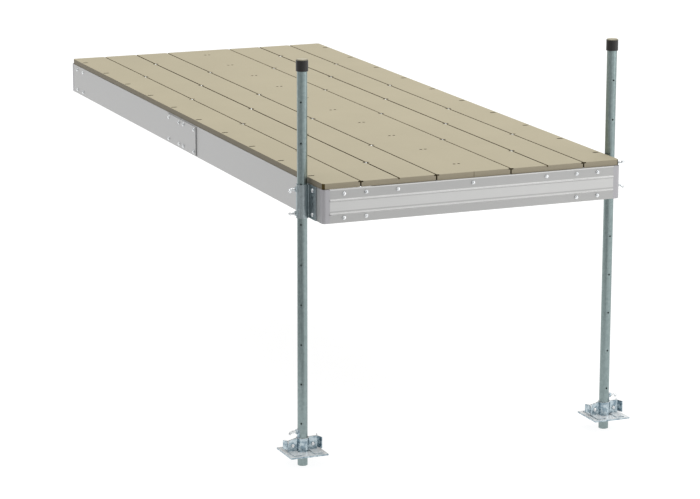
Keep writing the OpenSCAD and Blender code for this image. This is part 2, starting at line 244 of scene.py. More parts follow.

# %% [markdown]
# The end beams have two ribs, and the band between them comes out of the die smoother and brighter than
# the bands outside. The ribs' flanks and the lip along the top edge are painted brighter still, as
# highlights where they catch the light from above, and a thin line of painted shade runs along each rib's
# foot on the band's side.
#
# These could be separate strips, but it is the same metal. So a table gives the tone at each height, from
# the lower edge to the upper, as a multiple of the plain grey, and a colour ramp follows the table. The
# ribs' flanks see less light than flat faces do, so their painted highlights are higher tones still. A
# ramp holds no more than 1, so it holds shares of the brightest tone.

# %% Aluminium with a bright band, and painted highlights and shade at the ribs
BEAM_HALF_MM = 63.5
# Tones above the band's 1.3 are painted highlights on the ribs and the lip; the dips below 1.3 beside the
# ribs, on the band's side, are painted shade.
FACE_TONES_WITH_PAINTED_LIGHT = ((-34.3, 1.0), (-33.8, 1.5), (-32.2, 1.5), (-31.7, 1.0), (-29.9, 1.0), (-29.2, 1.42),
              (-28.2, 1.45), (-27.8, 1.85), (-26.2, 1.85), (-25.8, 1.42), (-24.0, 1.42), (-23.2, 1.05),
              (-22.3, 1.0), (-18.8, 1.0), (-17.8, 1.3), (15.6, 1.3), (16.2, 1.13), (19.3, 1.13),
              (19.9, 1.3), (21.6, 1.3), (22.2, 1.42), (22.9, 1.45), (23.2, 2.1), (24.8, 2.1),
              (25.1, 1.42), (26.6, 1.42), (27.4, 1.0), (58.9, 1.0), (59.5, 1.45))
BRIGHTEST = max(tone for _, tone in FACE_TONES_WITH_PAINTED_LIGHT)
aluminium_band, band_tree, plain_greys = mill_aluminium("mill_aluminium_banded", 0, "#ABABAA",
                                                        "#BABAB9")
band_place = add_node(band_tree, "ShaderNodeTexCoord", {}, {})
band_height = add_node(band_tree, "ShaderNodeSeparateXYZ", {}, {"Vector": band_place.outputs["Object"]})
up_the_face = to_range(band_tree, band_height.outputs["Z"], 0.0, 1.0, -BEAM_HALF_MM * MM,
                       BEAM_HALF_MM * MM)
tones = add_node(band_tree, "ShaderNodeValToRGB", {}, {"Fac": up_the_face})
stops = tones.color_ramp.elements
stops.remove(stops[1])
for number, (height_mm, tone) in enumerate(FACE_TONES_WITH_PAINTED_LIGHT):
    place = (height_mm + BEAM_HALF_MM) / (2 * BEAM_HALF_MM)
    stop = stops.new(place) if number else stops[0]
    stop.position = place
    stop.color = [tone / BRIGHTEST] * 3 + [1.0]
rescaled = add_node(band_tree, "ShaderNodeVectorMath", {"operation": "SCALE"},
                    {"Vector": tones.outputs["Color"], "Scale": BRIGHTEST})
toned = add_node(band_tree, "ShaderNodeMix", {"data_type": "RGBA", "blend_type": "MULTIPLY"},
                 {"Factor": 1.0, "A": plain_greys, "B": rescaled})
wire(band_tree, band_tree.nodes["Principled BSDF"], {"Base Color": toned})
print("an end beam's face has", len(stops), "tones")

# %% [markdown]
# ## Hot-dip galvanised pipe
#
# The legs are steel pipe dipped in molten zinc. Zinc freezes in crystals, called spangle, each of which
# mirrors the light a little differently, and it runs down the pipe while it hangs to drain. New spangle
# is bright, but this has weathered to a dull blue grey.
#
# A Voronoi pattern gives crystals directly: each cell has a random colour, of which one channel shifts
# the grey and another the roughness. A noise stretched along the pipe adds the runs. Real spangle is 3 to
# 10 mm across.

# %% Galvanised steel
SPANGLE_MM = 9.0
RUN_MM = 7.0
RUN_LENGTH_MM = 160.0
RUN_DEPTH_MM = 0.12
RUN_SHARE = 0.65


def galvanised(name, dark, light, smooth, dull):
    """Zinc with spangle and runs, from dark to light and from one roughness to another."""
    finish, tree, shader = new_finish(name, {"Metallic": 1.0})
    crystals = add_node(tree, "ShaderNodeTexVoronoi", {},
                        {"Vector": grain_space(tree, [SPANGLE_MM] * 3), "Scale": 1.0})
    crystal = add_node(tree, "ShaderNodeSeparateColor", {}, {"Color": crystals.outputs["Color"]})
    runs = noise(tree, [RUN_MM, RUN_MM, RUN_LENGTH_MM], detail=3.0)
    mixed = mix_numbers(tree, RUN_SHARE, crystal.outputs["Red"], runs)
    greys = mix_colours(tree, mixed, linear(dark), linear(light))
    rough = to_range(tree, crystal.outputs["Green"], smooth, dull)
    wire(tree, shader, {"Base Color": greys, "Roughness": rough})
    relief(tree, shader, runs, RUN_DEPTH_MM)
    return finish


galvanised_pipe = galvanised("galvanised_pipe", "#7D8B8B", "#98A7A7", smooth=0.3, dull=0.4)
galvanised_holder = galvanised("galvanised_holder", "#949EA1", "#B6C1C4", smooth=0.3, dull=0.45)
print("spangle", SPANGLE_MM, "mm, runs", RUN_LENGTH_MM, "mm long")

# %% [markdown]
# ## Bright zinc plate
#
# The feet are pressed from sheet, and they, the bolts, nuts and clamping screws are plated with zinc in a
# bath and passivated, which leaves them bright and slightly blue. Plate has no spangle. It has a soft
# mottle, and the sheet's own shallow dents make its reflections wander. A foot's upward faces are painted
# almost white and are no longer a mirror there: a film of zinc salts from standing in water, and a
# painted reflection of the bright room above.

# %% Zinc plate
MOTTLE_MM = 14.0
MOTTLE_FROM = 0.36
MOTTLE_TO = 0.64
BARE_UNDER_FILM = 0.2


def zinc_plate(name, dark, light, smooth, dull, dent_mm, film=None):
    """Zinc plate between two blue greys, with dents of some depth and maybe a pale film and painted
    reflection on upward faces.
    """
    finish, tree, shader = new_finish(name, {"Metallic": 1.0})
    mottle = noise(tree, [MOTTLE_MM] * 3, detail=4.0, Roughness=0.6)
    contrast = add_node(tree, "ShaderNodeMapRange", {"interpolation_type": "SMOOTHSTEP"},
                        {"Value": mottle, "From Min": MOTTLE_FROM, "From Max": MOTTLE_TO})
    greys = mix_colours(tree, contrast, linear(dark), linear(light))
    # Upward faces are painted pale: a film of zinc salts, and a painted reflection of the room above.
    if film:
        film_and_painted_reflection = dust_and_light_above(tree)
        greys = mix_colours(tree, film_and_painted_reflection, greys, linear(film))
        wire(tree, shader, {"Metallic": to_range(tree, film_and_painted_reflection, 1.0, BARE_UNDER_FILM)})
    wire(tree, shader, {"Base Color": greys, "Roughness": to_range(tree, contrast, smooth, dull)})
    relief(tree, shader, mottle, dent_mm)
    return finish


pressed_zinc = zinc_plate("zinc_plated_pressing", "#7C8F9A", "#BECBD1", smooth=0.14, dull=0.28,
                          dent_mm=0.5, film="#F2F5F6")
bright_zinc = zinc_plate("zinc_plated_fastener", "#CDD0D2", "#EFF1F2", smooth=0.16, dull=0.26,
                         dent_mm=0.05)
print("zinc mottle", MOTTLE_MM, "mm")

# %% [markdown]
# ## Moulded decking
#
# The panels are a wood-filled plastic, moulded in one piece and coloured right through in a warm tan. The
# face has a fine matt texture from the mould, so there is almost no shine. The colour drifts a little
# where the filler flowed, and the sun bleaches the high grain.
#
# A wood grain would be wrong, for the real face is nearly plain. Three noises of very different sizes do
# it: broad drift, fine speckle and the mould's texture. That texture is about 0.5 mm, and is drawn 2 mm.
#
# One function makes five tones of the same plastic. The upper face keeps the plain tan. The ends are
# painted a little darker, and the long outer sides darker still, as the shade of upright faces. The seams
# and grooves are painted dark for dirt and shade, and the slots darkest, as painted shade. These two
# coats have hardly any gloss.

# %% Decking in five tones, four with painted shade
DRIFT_MM = 260.0
SPECKLE_MM = 3.5
SPECKLE_SHARE = 0.4
TEXTURE_MM = 2.0
TEXTURE_DEPTH_MM = 0.25


def moulded_decking(name, dark, light, gloss=0.5):
    """Matt moulded plastic between two tans, with the usual gloss or less, as given for the recesses."""
    finish, tree, shader = new_finish(name, {"Roughness": 0.72, "IOR": 1.49, "Specular IOR Level": gloss})
    mixed = mix_numbers(tree, SPECKLE_SHARE, noise(tree, [DRIFT_MM] * 3, detail=3.0),
                        noise(tree, [SPECKLE_MM] * 3, detail=2.0))
    wire(tree, shader, {"Base Color": mix_colours(tree, mixed, linear(dark), linear(light))})
    relief(tree, shader, noise(tree, [TEXTURE_MM] * 3, detail=2.0), TEXTURE_DEPTH_MM)
    return finish


decking = moulded_decking("decking_top", "#9C947C", "#AAA188")
# The ends and long sides are the same plastic, painted darker as the shade of faces that stand upright.
end_decking_painted_shade = moulded_decking("decking_end_painted_shade", "#958C78", "#A29984")
side_decking_painted_shade = moulded_decking("decking_side_painted_shade", "#787060", "#827B6A")
# Seams and grooves are painted dark for dirt and shade, and the slot walls darkest, as painted shade.
recess_decking_dirt_and_shade = moulded_decking("decking_recess_dirt_and_painted_shade", "#43381E", "#594C2C", gloss=0.1)
slot_painted_shade = moulded_decking("slot_walls_painted_shade", "#1E180B", "#2E2612", gloss=0.05)
print("decking texture", TEXTURE_MM, "mm")

# %% [markdown]
# ## Vinyl caps
#
# The caps are dip-moulded soft vinyl, pushed over the pipe's end. It is black with a low, slightly uneven
# sheen and a faint pebbling. The black isn't zero: real vinyl reflects about 3%. The flat top is painted
# much paler, for dust and as a painted sheen where it faces the bright room overhead.

# %% Black vinyl
PEBBLE_MM = 2.5
PEBBLE_DEPTH_MM = 0.15
CAP_EDGE_MM = 1.5
black_vinyl, vinyl_tree, vinyl_shader = new_finish("black_vinyl",
                                                   {"Roughness": 0.38, "Specular IOR Level": 0.5})
pebbles = noise(vinyl_tree, [PEBBLE_MM] * 3, detail=2.0)
vinyl_blacks = mix_colours(vinyl_tree, pebbles, linear("#110F0F"), linear("#1D1A19"))
# The upward top is painted pale, for dust and as a painted sheen.
dust_and_sheen_blacks = mix_colours(vinyl_tree, dust_and_light_above(vinyl_tree), vinyl_blacks, linear("#A9A289"))
wire(vinyl_tree, vinyl_shader, {"Base Color": dust_and_sheen_blacks})
relief(vinyl_tree, vinyl_shader, pebbles, PEBBLE_DEPTH_MM, CAP_EDGE_MM)
print("vinyl pebbles", PEBBLE_MM, "mm")

# %% [markdown]
# ## Finish the structure
#
# The structure's solids already have their true shape, so they only need their materials. Which one
# depends on what the piece is and on the way it was extruded. The table below goes by how a piece's name
# starts and is searched from its top, so leg_cap stands before leg.

# %% Give every structural piece its finish
NODE_FINISHES = {"end_beam": aluminium_band, "ledger": aluminium_x, "cross_member": aluminium_x,
                 "side_beam": aluminium_y, "splice_plate": aluminium_y, "corner": aluminium_z,
                 "deck_panel": decking, "leg_holder": galvanised_holder, "holder_screws": bright_zinc,
                 "leg_cap": black_vinyl, "leg": galvanised_pipe, "foot_screw": bright_zinc,
                 "foot_clamp": pressed_zinc, "foot": pressed_zinc}

for node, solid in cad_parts.items():
    finish = next(NODE_FINISHES[start] for start in NODE_FINISHES if node.startswith(start))
    solid.data.materials.clear()
    solid.data.materials.append(finish)
print("finished", len(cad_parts), "structural pieces")

# %% [markdown]
# ## Meshes from code
#
# Small hardware is turned, so most of it is a profile spun about Z. A shape here is a list of corners and
# a list of faces in millimetres, and a matrix places it in the scene, which is in metres.

# %% Turned shapes
def turned(profile, sides):
    """A closed shape spun about Z, in mm. The profile runs from the axis at the top to the axis below."""
    corners = []
    rings = []
    for radius, height in profile:
        count = 1 if radius == 0 else sides
        rings.append(range(len(corners), len(corners) + count))
        turns = [2 * math.pi * i / count for i in range(count)]
        corners += [Vector((radius * math.cos(t), radius * math.sin(t), height)) for t in turns]
    faces = []
    for upper, lower in zip(rings, rings[1:]):
        for i in range(sides):
            j = (i + 1) % sides
            loop = [upper[i % len(upper)], lower[i % len(lower)], lower[j % len(lower)],
                    upper[j % len(upper)]]
            faces.append(list(dict.fromkeys(loop)))
    return corners, faces


def facing(point, direction, turn=0.0):
    """Places a shape made in mm along +Z at a point in metres, facing a direction."""
    aim = Vector(direction).to_track_quat("Z", "Y").to_matrix().to_4x4()
    return Matrix.Translation(point) @ aim @ Matrix.Rotation(turn, 4, "Z") @ Matrix.Scale(MM, 4)


print("a turned disc of 8 sides has", len(turned([(0, 1), (1, 1), (1, 0), (0, 0)], 8)[1]), "faces")

# %% [markdown]
# A made mesh becomes a piece in three steps: its shading is smoothed except across sharp edges, it gets
# its finishes, and it is told which body carries it. So it moves with the
# legs when they slide.
#
# Many copies are joined into one mesh, because hundreds of loose objects would be slow to handle and mean
# nothing to whoever opens the file.

# %% Pieces and joined copies
SHARP = math.radians(35)


def placed(name, data):
    """A new object with this data, put in the scene."""
    thing = bpy.data.objects.new(name, data)
    bpy.context.scene.collection.objects.link(thing)
    return thing


def smoothed(mesh):
    """Smooths a mesh's shading except across its sharp edges."""
    shape = bmesh.new()
    shape.from_mesh(mesh)
    bmesh.ops.recalc_face_normals(shape, faces=shape.faces)
    for face in shape.faces:
        face.smooth = True
    for edge in shape.edges:
        edge.smooth = edge.calc_face_angle(0) < SHARP
    shape.to_mesh(mesh)
    shape.free()
    return mesh


def add_piece(name, mesh, finishes, body):
    """Puts a mesh in the scene as a piece with these finishes, which rides on a body."""
    mesh.materials.clear()
    for finish in finishes:
        mesh.materials.append(finish)
    piece = placed(name, mesh)
    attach(piece, body)
    print(name, "has", len(mesh.polygons), "faces")
    return piece


def joined(name, copies):
    """One mesh from many copies, each a shape with the matrix that places it."""
    corners, faces = [], []
    for (shape_corners, shape_faces), place in copies:
        first = len(corners)
        corners += [place @ corner for corner in shape_corners]
        faces += [[first + i for i in face] for face in shape_faces]
    mesh = bpy.data.meshes.new(name)
    mesh.from_pydata(corners, [], faces)
    return smoothed(mesh)


def add_copies(name, copies, finish, body):
    """Joins copies into one steel piece with one finish."""
    add_piece(name, joined(name, copies), [finish], body)


print("edges are sharp from", round(math.degrees(SHARP)), "degrees")

# %% [markdown]
# ## Deck panels
#
# Five panels lie side by side. Each is moulded with its slots: short, with round ends, laid across the
# deck. A slot on a seam is shared by two panels. Two panels also have a groove down the middle, so the
# deck reads as boards of equal width. Underneath, a real moulding is hollow between ribs, with solid pads
# where it rests on a cross member.
#
# Bump could fake the slots, but they are about 4 mm deep and cast real shadows, so they are cut. A panel
# starts as an upright prism of its plan, closed solids are carved out of it, and a bevel breaks all its
# edges.

# %% Plans and prisms
def slot_plan(centre_x, centre_y, length, width, steps=6):
    """The plan of a slot with round ends, lying along X."""
    radius = width / 2
    reach = length / 2 - radius
    plan = []
    for end in (1, -1):
        for i in range(steps + 1):
            turn = math.pi / 2 * (2 * i / steps - 1) + (0 if end > 0 else math.pi)
            plan.append((centre_x + end * reach + radius * math.cos(turn),
                         centre_y + radius * math.sin(turn)))
    return plan


def box_plan(x0, x1, y0, y1):
    """The plan of a rectangle."""
    return [(x0, y0), (x1, y0), (x1, y1), (x0, y1)]


def add_prism(shape, plan, low_z, high_z):
    """Adds a closed upright solid to a bmesh: a plan, counter-clockwise, raised between two heights."""
    low = [shape.verts.new((x, y, low_z)) for x, y in plan]
    high = [shape.verts.new((x, y, high_z)) for x, y in plan]
    shape.faces.new(low[::-1])
    shape.faces.new(high)
    for i in range(len(plan)):
        j = (i + 1) % len(plan)
        shape.faces.new((low[i], low[j], high[j], high[i]))


print("a slot plan has", len(slot_plan(0, 0, 26, 12)), "points")

# %% [markdown]
# Carving is what a boolean modifier does, and breaking edges is what a bevel modifier does. Both could
# stay on the object, but then every tool that reads the mesh would have to apply them. So a helper puts
# the modifiers on a blank for a moment and keeps only the mesh that comes out.

# %% Carve and ease
def mesh_of(shape, name):
    """Turns a bmesh into a mesh."""
    mesh = bpy.data.meshes.new(name)
    shape.to_mesh(mesh)
    shape.free()
    return mesh


def settled(mesh, prepare):
    """The mesh after the modifiers that prepare puts on an object of it."""
    blank = placed("blank", mesh)
    prepare(blank.modifiers)
    graph = bpy.context.evaluated_depsgraph_get()
    result = bpy.data.meshes.new_from_object(blank.evaluated_get(graph))
    bpy.data.objects.remove(blank)
    return result


def carved(mesh, tool_mesh):
    """The mesh with the closed solids of another mesh taken out."""
    tool = placed("tool", tool_mesh)

    def prepare(modifiers):
        cut = modifiers.new("cut", "BOOLEAN")
        cut.operation = "DIFFERENCE"
        cut.solver = "EXACT"
        cut.object = tool

    result = settled(mesh, prepare)
    bpy.data.objects.remove(tool)
    return result


def eased(mesh, width_mm):
    """The mesh with its sharp edges bevelled."""
    def prepare(modifiers):
        bevel = modifiers.new("ease", "BEVEL")
        bevel.width = width_mm * MM
        bevel.segments = 2
        bevel.limit_method = "ANGLE"
        bevel.angle_limit = SHARP

    return settled(mesh, prepare)


sample = bmesh.new()
add_prism(sample, box_plan(0, 1, 0, 1), 0, 1)
print("a block with eased edges has", len(eased(mesh_of(sample, "sample"), 100).polygons), "faces")

# %% [markdown]
# The board lines divide the frame's width in eight. Screws go down on them into the cross members: along
# the seams at every other member, and along the grooves at the members between. Half-way between the
# members lie slots without screws, down the middle of the deck and over each side beam's flange. The
# middle ones have a bridge across them, so each is made as two round holes.

# %% Where the slots are
COLUMNS = 8
SLOT_LENGTH_MM = 27
SLOT_WIDTH_MM = 12
SLOT_DEPTH_MM = 4.2
BRIDGE_MM = 7
FLANGE_MIDDLE_MM = 19.5
deck_edge_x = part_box("deck_panel_5")[1].x
column_xs = [side_x * (2 * k / COLUMNS - 1) for k in range(1, COLUMNS)]
seam_xs = column_xs[0::2]
groove_xs = [column_xs[1], column_xs[5]]
outer_x = side_x - FLANGE_MIDDLE_MM * MM
row_pitch = row_ys[1] - row_ys[0]
between_ys = [row_ys[0] + (i - 0.5) * row_pitch for i in range(len(row_ys) + 1)]
screw_places = [(x, y) for x in seam_xs for y in row_ys[1::2]]
screw_places += [(x, y) for x in groove_xs for y in row_ys[0::2]]
print(len(screw_places), "screws,", 3 * len(between_ys), "slots without")

# %% [markdown]
# Three more marks are cut in the upper face. Where a seam meets either end, half a slot lets water run
# off. The middle panel has a thin tick in each end, which the fitter lines up with the middle of the
# beam. Two panels have their grooves. Every cutting solid runs past the face that it cuts, because a
# boolean leaves scraps where two faces lie in one plane.

# %% The cuts from above
END_NOTCH_MM = (20, 10)
TICK_MM = (1.6, 1.2)
GROOVE_HALF_MM = 2.8
GROOVE_DEPTH_MM = 5
OVERSHOOT = 2 * MM
slot_floor_z = deck_top_z - SLOT_DEPTH_MM * MM


def upper_cuts():
    """The solids to carve from above: slots, half slots at the ends of the seams, and two ticks."""
    cuts = bmesh.new()
    length, width = SLOT_LENGTH_MM * MM, SLOT_WIDTH_MM * MM
    plans = [slot_plan(x, y, length, width) for x, y in screw_places]
    plans += [slot_plan(way * outer_x, y, length, width) for way in (-1, 1) for y in between_ys]
    hole_x = (BRIDGE_MM * MM + width) / 2
    plans += [slot_plan(way * hole_x, y, width, width) for way in (-1, 1) for y in between_ys]
    ends = [corner.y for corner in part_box("deck_panel_3")]
    notch_length, notch_width = [size * MM for size in END_NOTCH_MM]
    plans += [slot_plan(x, y, notch_length, notch_width) for x in seam_xs for y in ends]
    for plan in plans:
        add_prism(cuts, plan, slot_floor_z, deck_top_z + OVERSHOOT)
    half_x, half_y = TICK_MM[0] / 2 * MM, TICK_MM[1] * MM
    for y in ends:
        add_prism(cuts, box_plan(-half_x, half_x, y - half_y, y + half_y), deck_low_z - OVERSHOOT,
                  deck_top_z + OVERSHOOT)
    return mesh_of(cuts, "upper_cuts")


def groove_cuts():
    """The solids for the grooves down the middle of two panels."""
    cuts = bmesh.new()
    for x in groove_xs:
        add_prism(cuts, box_plan(x - GROOVE_HALF_MM * MM, x + GROOVE_HALF_MM * MM, near_y, far_y),
                  deck_top_z - GROOVE_DEPTH_MM * MM, deck_top_z + OVERSHOOT)
    return mesh_of(cuts, "groove_cuts")


print("slots", SLOT_DEPTH_MM, "mm deep, grooves", GROOVE_DEPTH_MM, "mm")

# %% [markdown]
# The hollows underneath are guessed from how such panels are moulded: a skin about 8 mm thick on ribs of
# 6 mm. They never show from above, but they make the panel true from below.

# %% The hollows under a panel
SKIN_MM = 8
RIB_MM = 6
PAD_MM = 56
HOLLOW_MM = 52


def hollow_cuts(x0, x1, y0, y1):
    """The solids to carve from below, in bays between the pads over the cross members."""
    cuts = bmesh.new()
    rib, half_pad = RIB_MM * MM, PAD_MM / 2 * MM
    count = max(1, round((x1 - x0) / (HOLLOW_MM * MM + rib)))
    pitch = (x1 - x0 - rib) / count
    pad_middles = [y0 - (half_pad - rib)] + row_ys + [y1 + (half_pad - rib)]
    for start, end in zip(pad_middles, pad_middles[1:]):
        for i in range(count):
            left = x0 + rib + i * pitch
            add_prism(cuts, box_plan(left, left + pitch - rib, start + half_pad, end - half_pad),
                      deck_low_z - OVERSHOOT, deck_top_z - SKIN_MM * MM)
    return mesh_of(cuts, "hollow_cuts")


print("hollows about", HOLLOW_MM, "mm wide between ribs of", RIB_MM, "mm")

# %% [markdown]
# Now each panel can be moulded. The structure holds it as a plain slab, and this piece replaces that slab
# at the same size.
#
# Its five finishes could be blended by texture masks, but each mark already has faces of its own. So each
# face takes its finish from where it lies: anything lower than the rounded edge is painted darker, as
# shade, and is an outer side, an end, a slot, or else a seam or a groove, which hold dirt as well.

# %% Mould the panels
CORNER_R_MM = 12
CORNER_STEPS = 6
EDGE_MM = 1.7
TOP_FACE_MM = 0.9
NEAR_LINE_MM = 3.5
PANEL_FINISHES = [decking, recess_decking_dirt_and_shade, end_decking_painted_shade, side_decking_painted_shade, slot_painted_shade]


def panel_plan(x0, x1, y0, y1):
    """A panel's plan, with the deck's outer corners rounded."""
    plan = []
    for x, y, first_turn in ((x1, y1, 0), (x0, y1, 90), (x0, y0, 180), (x1, y0, 270)):
        if abs(x) < deck_edge_x - MM:
            plan.append((x, y))
            continue
        radius = CORNER_R_MM * MM
        centre_x = x - math.copysign(radius, x)
        centre_y = y + (radius if y == y0 else -radius)
        for step in range(CORNER_STEPS + 1):
            turn = math.radians(first_turn + 90 / CORNER_STEPS * step)
            plan.append((centre_x + radius * math.cos(turn), centre_y + radius * math.sin(turn)))
    return plan


def panel_finish(place, low_y, high_y):
    """The finish of a panel's face, from the place of the face's middle."""
    x, y, z = place
    from_line = min(abs(x - line) for line in column_xs)
    # Below the top face every finish is painted shade; the seams, grooves and underside get dirt as well.
    if z > deck_top_z - TOP_FACE_MM * MM:
        return decking
    if abs(x) > deck_edge_x - MM:
        return side_decking_painted_shade
    if not low_y + MM < y < high_y - MM:
        return end_decking_painted_shade
    if z > slot_floor_z - MM and from_line > NEAR_LINE_MM * MM:
        return slot_painted_shade
    return recess_decking_dirt_and_shade


for number in numbers_of("deck_panel"):
    low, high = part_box(f"deck_panel_{number}")
    slab = bmesh.new()
    add_prism(slab, panel_plan(low.x, high.x, low.y, high.y), low.z, high.z)
    panel = carved(mesh_of(slab, f"moulded_panel_{number}"), groove_cuts())
    panel = carved(panel, upper_cuts())
    panel = eased(carved(panel, hollow_cuts(low.x, high.x, low.y, high.y)), EDGE_MM)
    piece = add_piece(f"moulded_panel_{number}", panel, PANEL_FINISHES, "dock")
    for face in panel.polygons:
        face.material_index = PANEL_FINISHES.index(panel_finish(face.center, low.y, high.y))
    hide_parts(f"deck_panel_{number}")

# %% [markdown]
# ## Deck screws
#
# Each slot over a cross member holds a pan head screw that clamps the panel down. On a seam one head
# holds both panels. The heads are bright against the tan, and they sit below the face so that nobody
# trips. The head is turned with a round socket in it, which reads as a drive at this size.

# %% Deck screws
SCREW_PROFILE = [(0, 1.4), (1.9, 1.4), (2.1, 3.5), (3.2, 3.6), (4.6, 3.1), (5.4, 2.2), (5.7, 1.0),
                 (5.7, 0), (2.2, 0), (2.2, -12), (0, -12)]
screw = turned(SCREW_PROFILE, sides=20)
screw_copies = [(screw, facing((x, y, slot_floor_z), (0, 0, 1))) for x, y in screw_places]
add_copies("deck_screws", screw_copies, bright_zinc, "dock")

# %% [markdown]
# ## Bolts
#
# The frame is held by carriage bolts: a low dome outside, and inside a washer, a nut and a few turns of
# spare thread. A dome needs no spanner and snags nothing. Every bolt goes through the same stack, so one
# function makes both ends from the place, the direction outwards and the thickness of what it clamps.
#
# Each profile below is a list of radius and height in mm, from the axis at the top to the axis below. The
# nut is the same kind of shape, turned with only six sides. Nobody lines nuts up, so each inner end is
# turned by chance, from dice with a fixed seed.

# %% Bolt shapes
DOME_R_MM = 8.2
DOME_H_MM = 5.6
RIM_MM = 0.8
ROUND_SIDES = 24
NUT_SIDES = 6
THREAD_PITCH_MM = 1.5
THREAD_RIDGES = 4


def dome_profile(radius, height, steps):
    """A low dome on a thin rim."""
    turns = [math.pi / 2 * i / steps for i in range(steps + 1)]
    arc = [(radius * math.sin(t), RIM_MM + (height - RIM_MM) * math.cos(t)) for t in turns]
    arc[0] = (0, height)
    return arc + [(radius, 0), (0, 0)]


stub = [(3.2, 15.6), (4.2, 14.6)]
for ridge in range(THREAD_RIDGES):
    stub += [(3.7, 14.2 - ridge * THREAD_PITCH_MM), (4.3, 13.5 - ridge * THREAD_PITCH_MM)]
dome = turned(dome_profile(DOME_R_MM, DOME_H_MM, steps=6), ROUND_SIDES)
washer = turned([(0, 1.6), (9.2, 1.6), (9.6, 1.3), (9.6, 0), (0, 0)], ROUND_SIDES)
nut = turned([(0, 9.2), (6.6, 9.2), (8.5, 8.2), (8.5, 2.4), (7.4, 1.5), (0, 1.5)], NUT_SIDES)
bolt_end = turned([(0, 15.6)] + stub + [(3.9, 8.9), (0, 8.9)], sides=16)
dice = random.Random(7)


def bolt(place, direction, clamped_mm):
    """The copies that make a bolt at a place on the outer face, through so many mm."""
    direction = Vector(direction)
    inner = Vector(place) - direction * clamped_mm * MM
    inward = facing(inner, -direction, dice.uniform(0, math.pi))
    return [(dome, facing(place, direction)), (washer, inward), (nut, inward), (bolt_end, inward)]


print("a bolt has", sum(len(shape[1]) for shape, _ in bolt((0, 0, 0), (0, 0, 1), 8)), "faces")

# %% [markdown]
# Where the bolts go follows from what they hold. Each end beam has four at each corner, through the
# corner bracket's arm, and three more along the top that hold the ledger. Each side beam has four at
# either end through the bracket's other arm, and at the near end those pass through the leg holder's
# plate as well. Four pairs hold each splice plate. The end beams' holes are punched a little aside.
#
# The places are measured from the middle of a beam or plate, or from the far end.

# %% Bolts of the frame
BOLT_Z_MM = 45
END_BOLT_X_MM = (519.6, 431.6)
LEDGER_BOLT_X_MM = (-304.8, 0, 304.8)
ASIDE_MM = -6
SIDE_BOLT_IN_MM = (80, 166)
SPLICE_BOLT_MM = (-153, -27, 27, 153)
WALL_MM = 4
ARM_MM = 5
LEDGER_MM = 4
HOLDER_BOLT_MM = 44
HOLDER_MM = 4
frame_bolts = []
for y, way in ((near_y, -1), (far_y, 1)):
    face = (0, way, 0)
    for z in (-BOLT_Z_MM * MM, BOLT_Z_MM * MM):
        for x in END_BOLT_X_MM:
            for side in (-1, 1):
                frame_bolts += bolt(((side * x + ASIDE_MM) * MM, y, z), face, WALL_MM + ARM_MM)
    for x in LEDGER_BOLT_X_MM:
        frame_bolts += bolt(((x + ASIDE_MM) * MM, y, BOLT_Z_MM * MM), face, WALL_MM + LEDGER_MM)

splice_y = middle("splice_plate_left").y
for side, way in outward.items():
    face = (way, 0, 0)
    for z in (-BOLT_Z_MM * MM, BOLT_Z_MM * MM):
        for back in SIDE_BOLT_IN_MM:
            frame_bolts += bolt((way * side_x, far_y - back * MM, z), face, WALL_MM + ARM_MM)
        for along in SPLICE_BOLT_MM:
            plate_x = way * (side_x + WALL_MM * MM)
            frame_bolts += bolt((plate_x, splice_y + along * MM, z), face, 2 * WALL_MM)
        for along in (-HOLDER_BOLT_MM, HOLDER_BOLT_MM):
            plate_x = way * (side_x + HOLDER_MM * MM)
            frame_bolts += bolt((plate_x, leg_axes[side].y + along * MM, z), face,
                                HOLDER_MM + WALL_MM + ARM_MM)
add_copies("frame_bolts", frame_bolts, bright_zinc, "dock")

# %% [markdown]
# ## Foot bolts
#
# Two bolts draw the halves of each foot's clamp together round its socket. They are the same bolts, but
# they ride with the leg, so each foot has a piece of its own, placed from its clamp's box.

# %% Bolts of the feet
CLAMP_BOLT_X_MM = 41
CLAMP_BOLT_Z_MM = 24
CLAMP_HALF_MM = 4
for side, way in outward.items():
    plate_top_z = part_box(f"foot_clamp_{side}_front")[0].z
    clamp_bolts = []
    for x in (-CLAMP_BOLT_X_MM, CLAMP_BOLT_X_MM):
        place = (leg_axes[side].x + x * MM, leg_axes[side].y - CLAMP_HALF_MM * MM,
                 plate_top_z + CLAMP_BOLT_Z_MM * MM)
        clamp_bolts += bolt(place, (0, -1, 0), 2 * CLAMP_HALF_MM)
    add_copies(f"foot_bolts_{side}", clamp_bolts, bright_zinc, f"leg_{side}_body")

# %% [markdown]
# ## Welds
#
# The holder's sleeve is welded to its plate down both sides, and every nut to what it sits on. A hand weld
# is a row of overlapping ripples. A curve with a round bevel would give a smooth tube, so a bead here is
# a tube made point by point along a path, whose radius rises and falls every couple of millimetres.

# %% Weld beads
RIPPLE_MM = 2.6
BEAD_SIDES = 8
VALLEY = 0.86
JITTER = 0.05
END_TAPER = 0.3
NO_PATHS_WAY = Vector((0.3, 0.5, 0.81))


def tube(path, radii, sides, aside, closed=False):
    """A tube along a path, in metres, as corners and faces. The path never runs the way of aside."""
    corners, faces = [], []
    count = len(path)
    turns = [2 * math.pi * k / sides for k in range(sides)]
    for i, (point, radius) in enumerate(zip(path, radii)):
        before = path[i - 1] if closed or i else point
        after = path[(i + 1) % count] if closed or i < count - 1 else point
        ahead = (after - before).normalized()
        side = ahead.cross(aside).normalized()
        up = side.cross(ahead)
        corners += [point + (side * math.cos(t) + up * math.sin(t)) * radius for t in turns]
    for i in range(count if closed else count - 1):
        here, there = i * sides, (i + 1) % count * sides
        for k in range(sides):
            m = (k + 1) % sides
            faces.append([here + k, here + m, there + m, there + k])
    if not closed:
        faces.append(list(range(sides))[::-1])
        faces.append([(count - 1) * sides + k for k in range(sides)])
    return corners, faces


